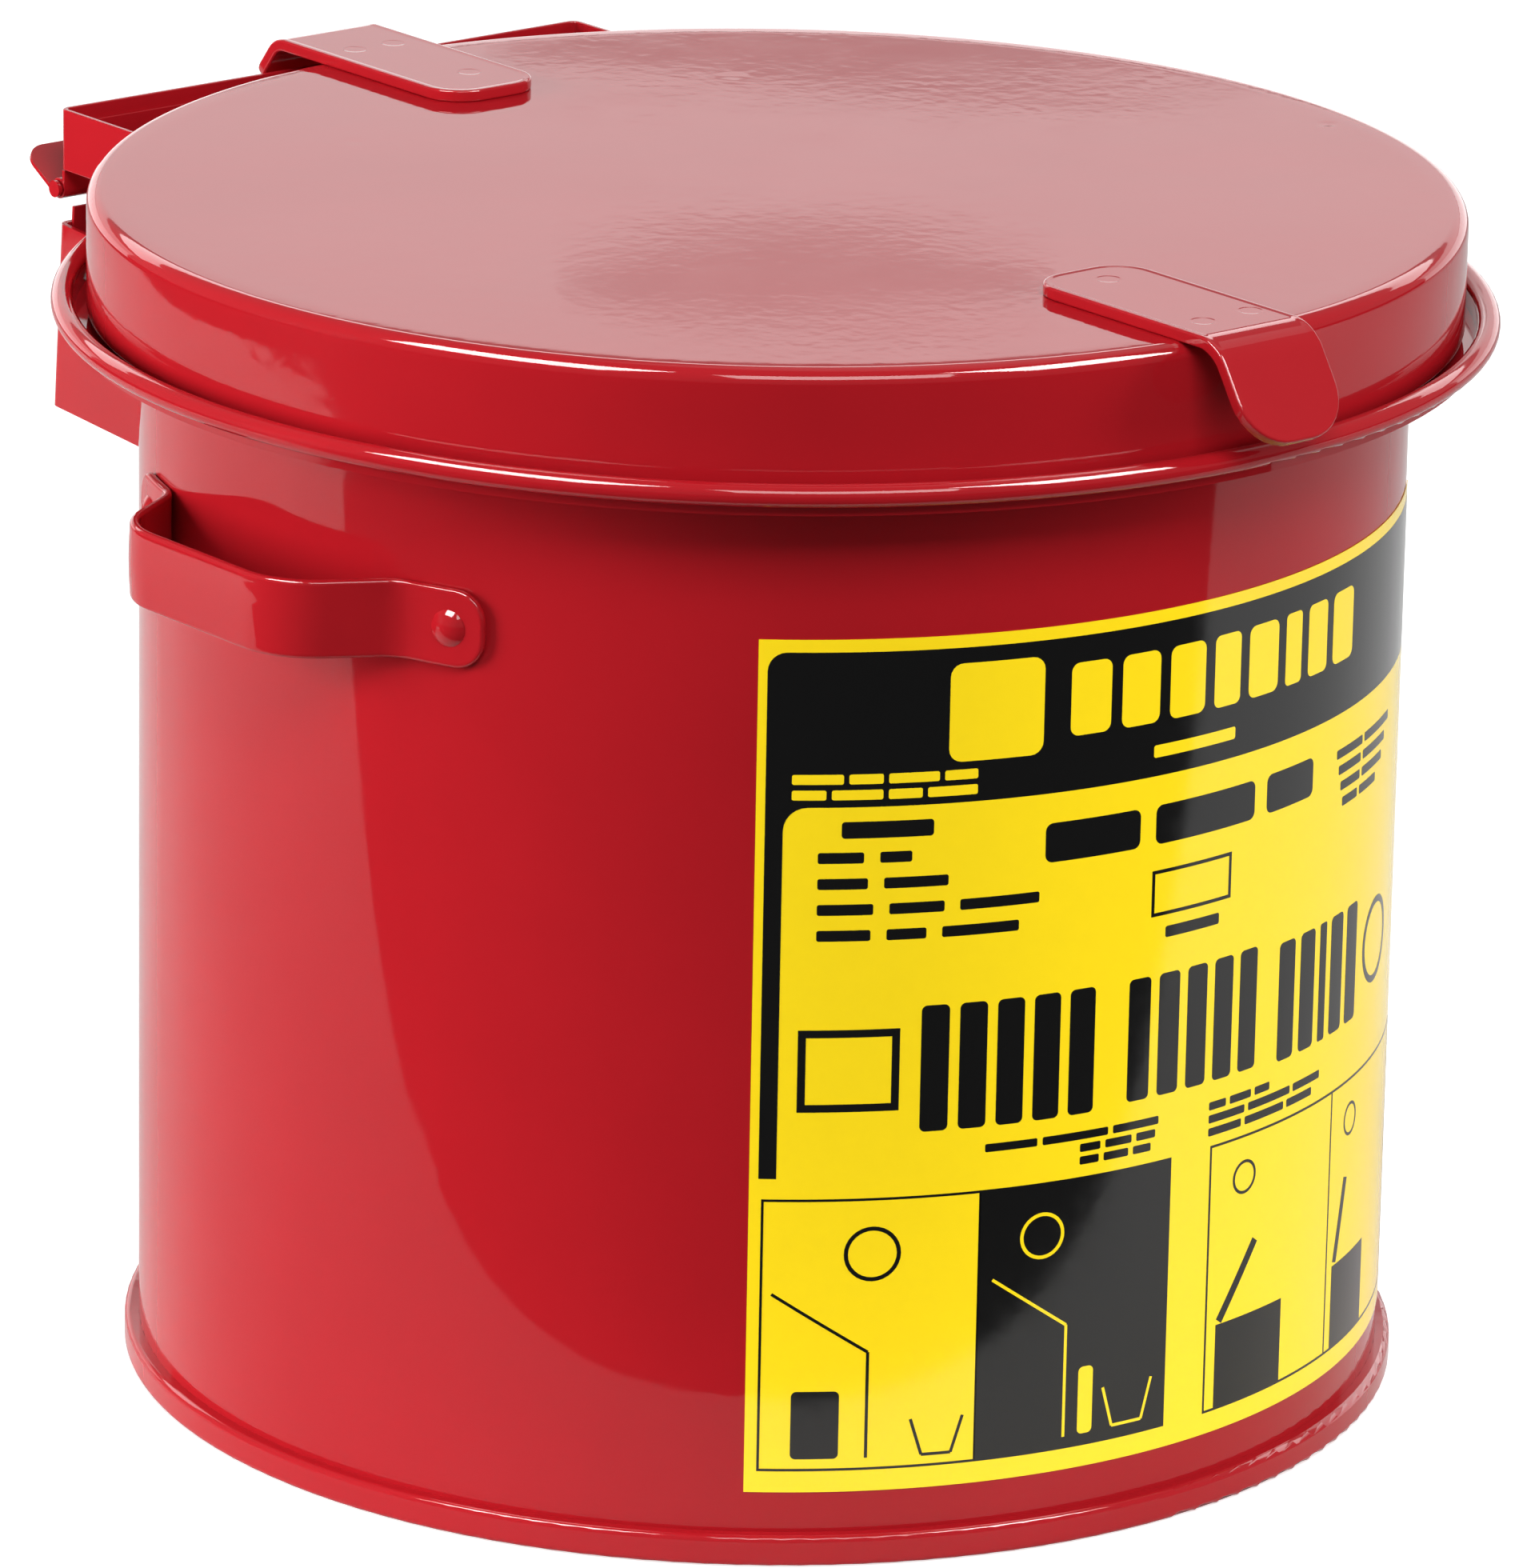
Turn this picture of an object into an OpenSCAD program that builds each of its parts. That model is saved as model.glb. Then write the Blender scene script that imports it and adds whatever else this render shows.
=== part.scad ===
// Oily waste can: a round sheet-steel can with a flat, overhanging, gravity-closing lid.
// The lid turns on a pin at the back, and a fixed leaf behind the pin stops it before it
// passes its balance point. Millimetres, Z up. The origin is the centre of the base at
// floor level, and the front, with the lift tab and the label, is toward -Y.

/* [Can body] */
// Outer radius of the can wall
body_r = 122; // [118:0.5:124]
// Sheet thickness of the wall, the bottom, the rim and the lid
sheet = 0.8; // [0.6:0.1:1]
// Height of the can's open mouth, just under the lid
mouth_z = 232.2; // [231:0.1:232.3]
// Radius of the rolled lip round the mouth
lip_r = 2; // [1.6:0.1:2.4]
// Height of the folded seam round the bottom
chime_h = 6; // [4:0.5:8]
// How far the bottom seam stands out from the wall
chime_proud = 2.8; // [2:0.1:3.2]
// Height of the raised floor above the ground
floor_z = 5.2; // [4:0.1:6]

/* [Rim gutter] */
// Outer radius of the rolled bead
rim_r = 138.8; // [137:0.1:139.2]
// Radius of the bead's own section
bead_r = 2.2; // [2:0.1:2.4]
// Height of the bead's top
rim_z = 213.6; // [212:0.1:214]
// Height of the gutter's underside
gutter_z = 207.2; // [206:0.1:207.6]

/* [Lid] */
// Outer radius of the lid's skirt
lid_r = 132; // [131:0.1:132.4]
// Height of the lid's flat top
lid_z = 233.4; // [233.4:0.1:234]
// Height of the skirt's lower edge
skirt_z = 210.6; // [210:0.1:212]
// Radius of the bend between the top and the skirt
lid_bend_r = 3; // [2:0.1:4]

/* [Straps] */
// Width of the two stamped straps on the lid
strap_w = 24; // [22:0.5:26]
// Thickness of the straps
strap_t = 2.4; // [2:0.1:2.6]
// Distance from the can's axis to the inner end of each strap
strap_in = 86.5; // [84:0.5:90]
// Distance from the can's axis to the front strap's bend
front_bend = 138.8; // [137.5:0.1:140]
// Distance from the can's axis to the rear strap's bend
rear_bend = 144.4; // [143:0.1:145]
// Length of the front strap's sloping lift tab
front_slope = 20.6; // [19:0.1:22]
// Length of the rear strap's sloping end
rear_slope = 11; // [10:0.5:11.5]
// Slope of the front lift tab below the horizontal, in degrees
front_angle = 57; // [52:1:60]
// Slope of the rear strap's end below the horizontal, in degrees
rear_angle = 52; // [48:1:56]
// Radius of the straps' rounded corners at the inner end
strap_in_r = 8; // [5:0.5:10]
// Radius of the lift tab's rounded corners
strap_tip_r = 9.5; // [7:0.5:11]

/* [Hinge] */
// Distance of the pin behind the can's axis
pin_y = 145; // [144.5:0.1:146]
// Height of the pin
pin_z = 212.5; // [212:0.1:213]
// Radius of the pin
pin_r = 1.3; // [1.2:0.05:1.35]
// Radial running clearance between the pin and the knuckles
pin_gap = 0.05; // [0.03:0.01:0.08]
// Half the width of the whole hinge
hinge_half = 65; // [60:0.5:68]
// Thickness of the hinge leaves and of the stop leaf
leaf_t = 0.8; // [0.7:0.05:0.9]
// Thickness of the two hinge brackets
bracket_t = 1; // [0.8:0.1:1.1]
// Gap between neighbouring knuckles
knuckle_gap = 0.4; // [0.35:0.05:0.8]
// Half the width of the middle knuckle, which turns with the lid
mid_half = 18; // [14:1:20]
// Width of each of the two knuckles that stay with the can
fixed_w = 24; // [18:1:26]
// Lean of the lower bracket away from the upright, in degrees
lower_lean = 4; // [0:0.5:5]
// Slope of the stop leaf above the horizontal, in degrees
stop_slope = 30; // [28:1:32]
// Length of the stop leaf from the pin's axis
stop_len = 13.6; // [12:0.1:13.8]

/* [Side handles] */
// Height of the middle of the handles
handle_z = 177; // [150:1:185]
// Width of the handle strap
handle_w = 15; // [12:0.5:18]
// Thickness of the handle strap
handle_t = 1.8; // [1.5:0.1:2.2]
// Distance from the can's axis to the outside of the bow
bow_r = 138.5; // [134:0.5:140]
// Half the length of the bow, measured to the corners before they are rounded
bow_half = 24.6; // [20:0.1:26]
// Radius of the bow's two corners
bow_bend = 16; // [13:0.5:17]
// Radius of the bends that turn the legs into the feet
foot_bend = 8; // [5:0.5:9]
// Angle from the handle's middle to where its legs meet the wall
leg_angle = 16.5; // [14:0.5:17]
// Radius of the corners at the ends of the handle's feet
foot_end_r = 6; // [4:0.5:7]
// Angle of each rivet to either side of the handle's middle
rivet_angle = 22; // [21:0.5:23]
// Radius of the rivet's shank
shank_r = 2; // [1.6:0.1:2.4]
// Radius of the rivet's domed head
head_r = 3.5; // [3:0.1:4]

/* [Label] */
// Height of the label's lower edge
label_z = 14; // [10:1:20]
// Height of the label
label_h = 166; // [150:1:168]
// Angle round the can that the label covers
label_angle = 87; // [80:1:92]
// Angle from the front to the middle of the label
label_turn = 3; // [0:0.5:5]

/* [Hidden] */
$fn = 96;
red = "firebrick";
e = 0.01;
// Radius of the hole in the knuckles
bore_r = pin_r + pin_gap;
// The leaves' sheet makes the knuckle's wall
knuckle_r = bore_r + leaf_t - 0.05;
// The leaves lie a hair inside the knuckle's front, so that they cut it cleanly
leaf_y = -knuckle_r + 0.05;
// Inner face of the brackets' backs
bracket_y = leaf_y + leaf_t;
// Where the fixed knuckles and the end knuckles begin, from the middle of the pin
fixed_x = mid_half + knuckle_gap;
end_x = fixed_x + fixed_w + knuckle_gap;
// Radius of the brackets' corners, and half the width of the flat between them
corner_r = 1.6;
inside_half = hinge_half - bracket_t - corner_r;
// Height above the pin of the upper bracket's lower edge, and of its upper edge
upper_z0 = 4;
upper_z1 = 16.4;
// Depths below the pin of the lower leaf's edge, and of the lower bracket's two edges
lower_leaf_z = 3.7;
lower_z0 = 7;
lower_z1 = 45;
// Angle round the wall that each foot of the lower bracket covers
foot_arc = 7;
// Angle from the middle of a handle to the end of its feet
foot_end_angle = rivet_angle + 3.4;
// Angle from +X to the wall's lapped seam
seam_turn = 38;

// ---- outlines ----

function unit(v) = v / norm(v);

// A corner at q between p and s, rounded to radius r with n + 1 points
function corner(p, q, s, r, n = 8) =
    let (d1 = unit(p - q), d2 = unit(s - q), half = acos(d1 * d2) / 2,
        c = q + unit(d1 + d2) * r / sin(half),
        t1 = q + d1 * r / tan(half), t2 = q + d2 * r / tan(half),
        a1 = atan2(t1.y - c.y, t1.x - c.x), a2 = atan2(t2.y - c.y, t2.x - c.x),
        turn = a2 - a1 > 180 ? a2 - a1 - 360 : a2 - a1 < -180 ? a2 - a1 + 360 : a2 - a1)
    [for (i = [0:n]) c + r * [cos(a1 + turn * i / n), sin(a1 + turn * i / n)]];

// The direction across a path at its point i
function across(path, i) =
    let (a = path[max(i - 1, 0)], b = path[min(i + 1, len(path) - 1)], d = unit(b - a))
    [-d.y, d.x];

// A bent strip of thickness t along the middle line path
module strip(path, t) {
    last = len(path) - 1;
    left = [for (i = [0:last]) path[i] + across(path, i) * t / 2];
    right = [for (i = [last:-1:0]) path[i] - across(path, i) * t / 2];
    polygon(concat(left, right));
}

// A strip of width w from y = 0 to y = length, with its two far corners rounded to radius r
module rounded_end(w, length, r) {
    translate([-w / 2, 0]) square([w, length - r]);
    translate([-w / 2 + r, 0]) square([w - 2 * r, length]);
    for (x = [-1, 1]) translate([x * (w / 2 - r), length - r]) circle(r);
}

// Places its children in the pin's own frame, turned about the pin
module at_pin(turn = 0) {
    translate([0, pin_y, pin_z]) rotate([turn, 0, 0]) children();
}

// A cylinder along X between x0 and x1, round the pin
module along_pin(r, x0, x1) {
    translate([x0, 0, 0]) rotate([0, 90, 0]) cylinder(r = r, h = x1 - x0);
}

// The spans of the knuckles that turn with the lid, and of those that stay with the can
moving_spans = [[-hinge_half, -end_x], [-mid_half, mid_half], [end_x, hinge_half]];
fixed_spans = [[-fixed_x - fixed_w, -fixed_x], [fixed_x, fixed_x + fixed_w]];

// ---- can ----

module lap_seam() {
    rotate([0, 0, seam_turn - 2]) rotate_extrude(angle = 4)
        translate([body_r - sheet / 2, chime_h + 2]) square([sheet / 2 + 0.4, gutter_z - chime_h - 4]);
}

module rivet_hole(turn) {
    rotate([0, 0, turn]) translate([body_r - 10, 0, handle_z]) rotate([0, 90, 0])
        cylinder(r = shank_r, h = 20);
}

// Rolled wall with a lapped seam and a rolled lip round its mouth
module body_shell() color(red) {
    difference() {
        union() {
            translate([0, 0, sheet]) cylinder(r = body_r, h = mouth_z - lip_r - sheet);
            rotate_extrude() translate([body_r - sheet + lip_r - 0.15, mouth_z - lip_r]) circle(lip_r);
            lap_seam();
        }
        cylinder(r = body_r - sheet, h = mouth_z + 1);
        for (side = [0, 180], turn = [-rivet_angle, rivet_angle]) rivet_hole(side + turn);
    }
}

// Raised floor whose edge is folded round the foot of the wall
module bottom_pan() color(red) {
    inner = body_r - 2 * sheet;
    outer = body_r + chime_proud;
    fold_r = 1.2;
    rotate_extrude() difference() {
        union() {
            translate([inner, fold_r]) square([outer - inner, chime_h - 2 * fold_r]);
            translate([inner + fold_r, 0]) square([outer - inner - 2 * fold_r, chime_h]);
            for (r = [inner + fold_r, outer - fold_r], z = [fold_r, chime_h - fold_r])
                translate([r, z]) circle(fold_r);
            translate([0, floor_z]) square([inner + fold_r, sheet]);
        }
        translate([body_r - sheet, sheet]) square([sheet, chime_h]);
        translate([inner - e, floor_z + sheet]) square([sheet + e, chime_h]);
    }
}

// Gutter round the wall that the lid's skirt hangs into, with a rolled bead outside
module rim_gutter() color(red) {
    bead_c = [rim_r - bead_r, rim_z - bead_r];
    wall_r = rim_r - 2 * bead_r + 0.05;
    flange_h = 6;
    rotate_extrude() {
        translate([body_r, gutter_z]) square([wall_r + sheet - body_r, sheet]);
        translate([body_r, gutter_z]) square([sheet, flange_h]);
        translate([wall_r, gutter_z]) square([sheet, bead_c.y - gutter_z]);
        difference() {
            translate(bead_c) circle(bead_r);
            translate(bead_c) circle(bead_r - sheet);
            translate([wall_r + sheet, bead_c.y - bead_r]) square([0.8, bead_r - 0.6]);
        }
    }
}

// Thin printed label on the front of the wall
module label() color("gold") {
    rotate([0, 0, -90 + label_turn - label_angle / 2]) rotate_extrude(angle = label_angle)
        translate([body_r, label_z]) square([0.2, label_h]);
}

// ---- side handles, drawn for the +X side ----

// The feet run a hair inside the wall, which then cuts them to its own curve
function handle_path() =
    let (foot_r = body_r + handle_t / 2 - 0.08,
        foot = [for (a = [foot_end_angle + 1:-1.5:leg_angle + 3]) foot_r * [cos(a), sin(a)]],
        k1 = foot_r * [cos(leg_angle), sin(leg_angle)],
        k2 = [bow_r - handle_t / 2, bow_half],
        k3 = [k2.x, -k2.y],
        half = concat(foot, corner(foot[len(foot) - 1], k1, k2, foot_bend, 12),
            corner(k1, k2, k3, bow_bend, 14)))
    concat(half, [for (i = [len(half) - 1:-1:0]) [half[i].x, -half[i].y]]);

module handle() color(red) {
    end_y = (body_r + handle_t) * sin(foot_end_angle);
    difference() {
        intersection() {
            translate([0, 0, handle_z - handle_w / 2]) linear_extrude(handle_w)
                strip(handle_path(), handle_t);
            for (side = [0, 1]) mirror([0, side, 0])
                translate([body_r - 20, 0, handle_z]) rotate([90, 0, 90]) linear_extrude(60)
                    rotate(-90) rounded_end(handle_w, end_y, foot_end_r);
        }
        for (turn = [-rivet_angle, rivet_angle]) rivet_hole(turn);
        translate([0, 0, handle_z - handle_w]) cylinder(r = body_r, h = 2 * handle_w);
    }
}

module left_handle() mirror([1, 0, 0]) handle();
module right_handle() handle();

// Domed rivet through the handle and the wall, with a flat tail inside the can
module rivet(turn) color(red) {
    seat = body_r + handle_t;
    head_h = 1.4;
    sunk = 0.3;
    tail_r = 2.9;
    tail_h = 1.3;
    dome_r = (head_r * head_r + head_h * head_h) / (2 * head_h);
    rotate([0, 0, turn]) translate([0, 0, handle_z]) {
        difference() {
            translate([seat - sunk, 0, 0]) rotate([0, 90, 0]) rotate_extrude() intersection() {
                translate([0, head_h + sunk - dome_r]) circle(dome_r);
                square([head_r, head_h + 1]);
            }
            translate([0, 0, -10]) cylinder(r = seat, h = 20);
        }
        translate([body_r - sheet - 0.5, 0, 0]) rotate([0, 90, 0])
            cylinder(r = shank_r, h = handle_t + sheet + 1);
        intersection() {
            translate([body_r - sheet - tail_h, 0, 0]) rotate([0, 90, 0]) cylinder(r = tail_r, h = 2);
            translate([0, 0, -10]) cylinder(r = body_r - sheet, h = 20);
        }
    }
}

module left_front_rivet() rivet(180 + rivet_angle);
module left_rear_rivet() rivet(180 - rivet_angle);
module right_front_rivet() rivet(-rivet_angle);
module right_rear_rivet() rivet(rivet_angle);

// ---- hinge ----

// Plan of a channel that opens toward the can, in the pin's frame
module channel(t) {
    x = hinge_half - t / 2;
    y = bracket_y + t / 2;
    strip(concat([[-x, -60]], corner([-x, -60], [-x, y], [x, y], corner_r),
        corner([-x, y], [x, y], [x, -60], corner_r), [[x, -60]]), t);
}

// Upright channel on the back of the can that carries the hinge, with a closed bottom
module lower_hinge_bracket() color(red) {
    foot_turn = asin(hinge_half / body_r);
    difference() {
        at_pin(lower_lean) {
            translate([0, 0, -lower_z1]) linear_extrude(lower_z1 - lower_z0) channel(bracket_t);
            translate([0, 0, -lower_z1]) linear_extrude(bracket_t)
                translate([-hinge_half + 1.2, -60]) square([2 * hinge_half - 2.4, 60 + bracket_y + 0.5]);
        }
        cylinder(r = body_r, h = lid_z);
    }
    // Feet turned outward along the wall
    for (start = [90 + foot_turn - 0.6, 90 - foot_turn + 0.6 - foot_arc])
        rotate([0, 0, start]) rotate_extrude(angle = foot_arc)
            translate([body_r, pin_z - lower_z1]) square([bracket_t, lower_z1 - lower_z0 - 4]);
}

// Hinge leaf inside the lower bracket, rolled round the pin in two places
module lower_hinge_leaf() color(red) {
    at_pin(lower_lean) difference() {
        union() {
            translate([-inside_half, leaf_y, -lower_leaf_z - 18])
                cube([2 * inside_half, leaf_t, 18]);
            for (s = fixed_spans) {
                translate([s[0], leaf_y, -lower_leaf_z - 1])
                    cube([s[1] - s[0], leaf_t, lower_leaf_z + 1]);
                along_pin(knuckle_r, s[0], s[1]);
            }
        }
        along_pin(bore_r, -hinge_half, hinge_half);
    }
}

// Fixed leaf behind the pin that the upper bracket comes to rest on when the lid is open
module stop_leaf() color(red) {
    at_pin(stop_slope) difference() {
        translate([0, 0, leaf_y]) linear_extrude(leaf_t) rounded_end(2 * hinge_half, stop_len, 5);
        along_pin(knuckle_r, -hinge_half - 1, hinge_half + 1);
        for (s = moving_spans) along_pin(knuckle_r + 0.4, s[0] - knuckle_gap, s[1] + knuckle_gap);
    }
}

// Hinge leaf on the lid's side, rolled round the pin in the middle and at both ends
module upper_hinge_leaf() color(red) {
    at_pin() difference() {
        union() {
            translate([-hinge_half, leaf_y, lower_leaf_z])
                cube([2 * hinge_half, leaf_t, upper_z1 - lower_leaf_z - 3]);
            for (s = moving_spans) {
                translate([s[0], leaf_y, 0]) cube([s[1] - s[0], leaf_t, lower_leaf_z + 1]);
                along_pin(knuckle_r, s[0], s[1]);
            }
        }
        along_pin(bore_r, -hinge_half - 1, hinge_half + 1);
        for (x = [-hinge_half - 1, inside_half]) translate([x, leaf_y - 1, upper_z0 - e])
            cube([hinge_half - inside_half + 1, leaf_t + 2, upper_z1]);
    }
}

// Channel between the lid's skirt and the hinge, open above and below
module upper_hinge_bracket() color(red) {
    difference() {
        at_pin() translate([0, 0, upper_z0]) linear_extrude(upper_z1 - upper_z0) channel(bracket_t);
        cylinder(r = lid_r, h = lid_z + 1);
    }
}

// Pin with a flattened head at each end
module hinge_pin() color(red) {
    head_h = 0.7;
    at_pin() {
        along_pin(pin_r, -hinge_half - knuckle_gap, hinge_half + knuckle_gap);
        for (x = [-hinge_half - knuckle_gap - head_h, hinge_half + knuckle_gap])
            along_pin(pin_r + 0.4, x, x + head_h);
    }
}

// ---- lid ----

// Flat lid with a deep skirt
module lid_pan() color(red) {
    bend = [lid_r - lid_bend_r, lid_z - lid_bend_r];
    rotate_extrude() {
        translate([lid_r - sheet, skirt_z]) square([sheet, bend.y - skirt_z]);
        translate([0, lid_z - sheet]) square([bend.x, sheet]);
        intersection() {
            translate(bend) difference() {
                circle(lid_bend_r);
                circle(lid_bend_r - sheet);
            }
            translate(bend) square(lid_bend_r);
        }
    }
}

// Stamped strap toward +Y: flat on the lid, bent down past the edge, with rounded corners
module strap(bend_y, angle, slope_len, bend_r, tip_r) color(red) {
    mid_z = lid_z + strap_t / 2;
    inner = [strap_in, mid_z];
    bend = [bend_y, mid_z];
    tip = bend + slope_len * [cos(angle), -sin(angle)];
    difference() {
        intersection() {
            rotate([90, 0, 90]) linear_extrude(strap_w, center = true)
                strip(concat([inner], corner(inner, bend, tip, bend_r, 14), [tip]), strap_t);
            translate([0, bend_y + 30, lid_z - 40]) linear_extrude(60)
                mirror([0, 1]) rounded_end(strap_w + 2 * e, bend_y + 30 - strap_in, strap_in_r);
        }
        // Corners outside the rounded tip
        translate([0, bend_y, mid_z]) rotate([-angle, 0, 0])
            translate([0, 0, -5]) linear_extrude(10) difference() {
                translate([-strap_w, slope_len - tip_r]) square([2 * strap_w, tip_r + 5]);
                rounded_end(strap_w + 2 * e, slope_len, tip_r);
            }
    }
}

module front_lift_tab()
    rotate([0, 0, 180]) strap(front_bend, front_angle, front_slope, 8, strap_tip_r);
module rear_strap() strap(rear_bend, rear_angle, rear_slope, 5, 4);

body_shell();
bottom_pan();
rim_gutter();
label();
left_handle();
right_handle();
left_front_rivet();
left_rear_rivet();
right_front_rivet();
right_rear_rivet();
lower_hinge_bracket();
lower_hinge_leaf();
stop_leaf();
hinge_pin();
lid_pan();
front_lift_tab();
rear_strap();
upper_hinge_bracket();
upper_hinge_leaf();
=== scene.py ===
# The looks of the oily waste can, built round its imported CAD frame. Metres, Z up, and the
# front, with the lift tab and the label, toward -Y.
import math

import bmesh
import bpy
from mathutils import Matrix, Vector


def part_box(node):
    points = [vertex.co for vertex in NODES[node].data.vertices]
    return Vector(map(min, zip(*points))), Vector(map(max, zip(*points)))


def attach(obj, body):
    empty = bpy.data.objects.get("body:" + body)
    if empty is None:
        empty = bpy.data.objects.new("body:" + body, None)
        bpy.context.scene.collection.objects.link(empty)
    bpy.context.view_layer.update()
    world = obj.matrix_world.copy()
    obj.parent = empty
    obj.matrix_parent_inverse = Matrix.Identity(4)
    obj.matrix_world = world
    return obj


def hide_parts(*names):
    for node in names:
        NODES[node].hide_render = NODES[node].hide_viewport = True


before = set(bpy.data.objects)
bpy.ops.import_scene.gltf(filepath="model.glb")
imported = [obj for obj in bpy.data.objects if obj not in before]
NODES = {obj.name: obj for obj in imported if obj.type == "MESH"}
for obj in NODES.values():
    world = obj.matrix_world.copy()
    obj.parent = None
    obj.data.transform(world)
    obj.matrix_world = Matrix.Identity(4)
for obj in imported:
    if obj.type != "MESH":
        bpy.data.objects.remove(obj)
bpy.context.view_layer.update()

# ---- sizes taken from the frame ----

MM = 0.001
CAD_LABEL_T = 0.2 * MM
BODY_R_OUT = -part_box("label")[0].y - CAD_LABEL_T
LID_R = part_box("lid_pan")[1].x
LID_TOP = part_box("lid_pan")[1].z

# ---- camera ----

VIEW_AZIMUTH = math.radians(-39.6)
VIEW_ELEVATION = math.radians(17.6)
VIEW_ROLL = math.radians(1.05)
VIEW_DISTANCE = 2.06
VIEW_LENS = 243.1
AIM = Vector((0, 0, 0.1137))
# The camera looks this far to the left of the aim
AIM_LEFT = 0.0018


def seen_from(turn, elevation, distance):
    """A point that far from the aim, turned to the right of the camera and raised, in degrees."""
    a = VIEW_AZIMUTH + math.radians(turn)
    e = math.radians(elevation)
    return AIM + distance * Vector((math.sin(a) * math.cos(e), -math.cos(a) * math.cos(e), math.sin(e)))


def make_camera():
    data = bpy.data.cameras.new("camera")
    data.lens = VIEW_LENS
    data.sensor_width = 36
    data.clip_end = 50
    camera = bpy.data.objects.new("camera", data)
    camera.location = seen_from(0, math.degrees(VIEW_ELEVATION), VIEW_DISTANCE)
    left = Vector((-math.cos(VIEW_AZIMUTH), -math.sin(VIEW_AZIMUTH), 0))
    look = (AIM + AIM_LEFT * left - camera.location).to_track_quat("-Z", "Y")
    camera.rotation_mode = "QUATERNION"
    camera.rotation_quaternion = look @ Matrix.Rotation(VIEW_ROLL, 3, "Z").to_quaternion()
    bpy.context.scene.collection.objects.link(camera)
    bpy.context.scene.camera = camera


# ---- stage ----

# How far from the aim the streak cards and the back wall stand, and from the lid the mirror cards
CARD_DISTANCE = 1.3
MIRROR_DISTANCE = 1.2
FLOOR_SIDE = 30


def rectangle(width, height):
    """Outline of a rectangle round the origin."""
    w, h = width / 2, height / 2
    return [(-w, -h), (w, -h), (w, h), (-w, h)]


def oval(width, height, sides=32):
    """Outline of an oval round the origin."""
    turns = [2 * math.pi * i / sides for i in range(sides)]
    return [(width / 2 * math.cos(a), height / 2 * math.sin(a)) for a in turns]


def stage_plane(name, outline, place, facing, color, strength=None):
    """A flat card of the studio, level or with its face toward a point, matt or glowing."""
    mesh = bpy.data.meshes.new(name)
    mesh.from_pydata([(x, y, 0) for x, y in outline], [], [tuple(range(len(outline)))])
    card = bpy.data.objects.new(name, mesh)
    card.location = place
    if facing is not None:
        card.rotation_mode = "QUATERNION"
        card.rotation_quaternion = (Vector(facing) - Vector(place)).to_track_quat("Z", "Y")
    material = bpy.data.materials.new(name)
    material.use_nodes = True
    tree = material.node_tree
    if strength is None:
        shader = tree.nodes["Principled BSDF"]
        shader.inputs["Base Color"].default_value = (*color, 1)
        shader.inputs["Roughness"].default_value = 0.8
        shader.inputs["Specular IOR Level"].default_value = 0.1
    else:
        tree.nodes.clear()
        glow = tree.nodes.new("ShaderNodeEmission")
        glow.inputs["Color"].default_value = (*color, 1)
        glow.inputs["Strength"].default_value = strength
        out = tree.nodes.new("ShaderNodeOutputMaterial")
        tree.links.new(glow.outputs[0], out.inputs["Surface"])
    mesh.materials.append(material)
    bpy.context.scene.collection.objects.link(card)
    return card


def seen_by(card, camera, gloss, diffuse):
    """Says which rays meet a card. None of them cast a shadow."""
    card.visible_camera = camera
    card.visible_glossy = gloss
    card.visible_diffuse = diffuse
    card.visible_transmission = False
    card.visible_shadow = False


def softbox(name, turn, elevation, distance, size, power, gloss=True):
    """A rectangular light aimed at the can, which its gloss may or may not show."""
    data = bpy.data.lights.new(name, "AREA")
    data.shape = "RECTANGLE"
    data.size, data.size_y = size
    data.energy = power
    light = bpy.data.objects.new(name, data)
    light.location = seen_from(turn, elevation, distance)
    light.rotation_mode = "QUATERNION"
    light.rotation_quaternion = (AIM - light.location).to_track_quat("-Z", "Y")
    light.visible_camera = False
    light.visible_glossy = gloss
    bpy.context.scene.collection.objects.link(light)


def streak_card(name, turn, elevation, size, strength):
    """A bright card that shows only in the gloss of bends and beads."""
    place = seen_from(turn, elevation, CARD_DISTANCE)
    card = stage_plane(name, rectangle(*size), place, AIM, (1, 0.97, 0.95), strength)
    seen_by(card, camera=False, gloss=True, diffuse=False)


def mirror_card(name, right, ahead, size, strength):
    """A card that the camera sees mirrored in the lid, so far right of the lid's centre and ahead of it."""
    toward = (seen_from(0, 0, 1) - AIM).normalized()
    spot = toward * ahead + Vector((-toward.y, toward.x, 0)) * right
    spot.z = LID_TOP
    ray = (spot - seen_from(0, math.degrees(VIEW_ELEVATION), VIEW_DISTANCE)).normalized()
    ray.z = -ray.z
    place = spot + MIRROR_DISTANCE * ray
    card = stage_plane(name, oval(*size), place, place + toward, (1, 1, 1), strength)
    seen_by(card, camera=False, gloss=True, diffuse=False)


def back_wall(name, low, high, strength):
    """A glowing wall behind the can, between two heights."""
    place = seen_from(180, 0, CARD_DISTANCE)
    place.z = (low + high) / 2
    facing = Vector((0, 0, place.z))
    card = stage_plane(name, rectangle(3.2, high - low), place, facing, (1, 1, 1), strength)
    seen_by(card, camera=False, gloss=True, diffuse=False)


def make_world():
    """Even white light from all round."""
    scene = bpy.context.scene
    scene.view_settings.view_transform = "Standard"
    world = bpy.data.worlds.new("studio")
    world.use_nodes = True
    world.node_tree.nodes["Background"].inputs["Color"].default_value = (1, 1, 1, 1)
    world.node_tree.nodes["Background"].inputs["Strength"].default_value = 0.36
    scene.world = world


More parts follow.
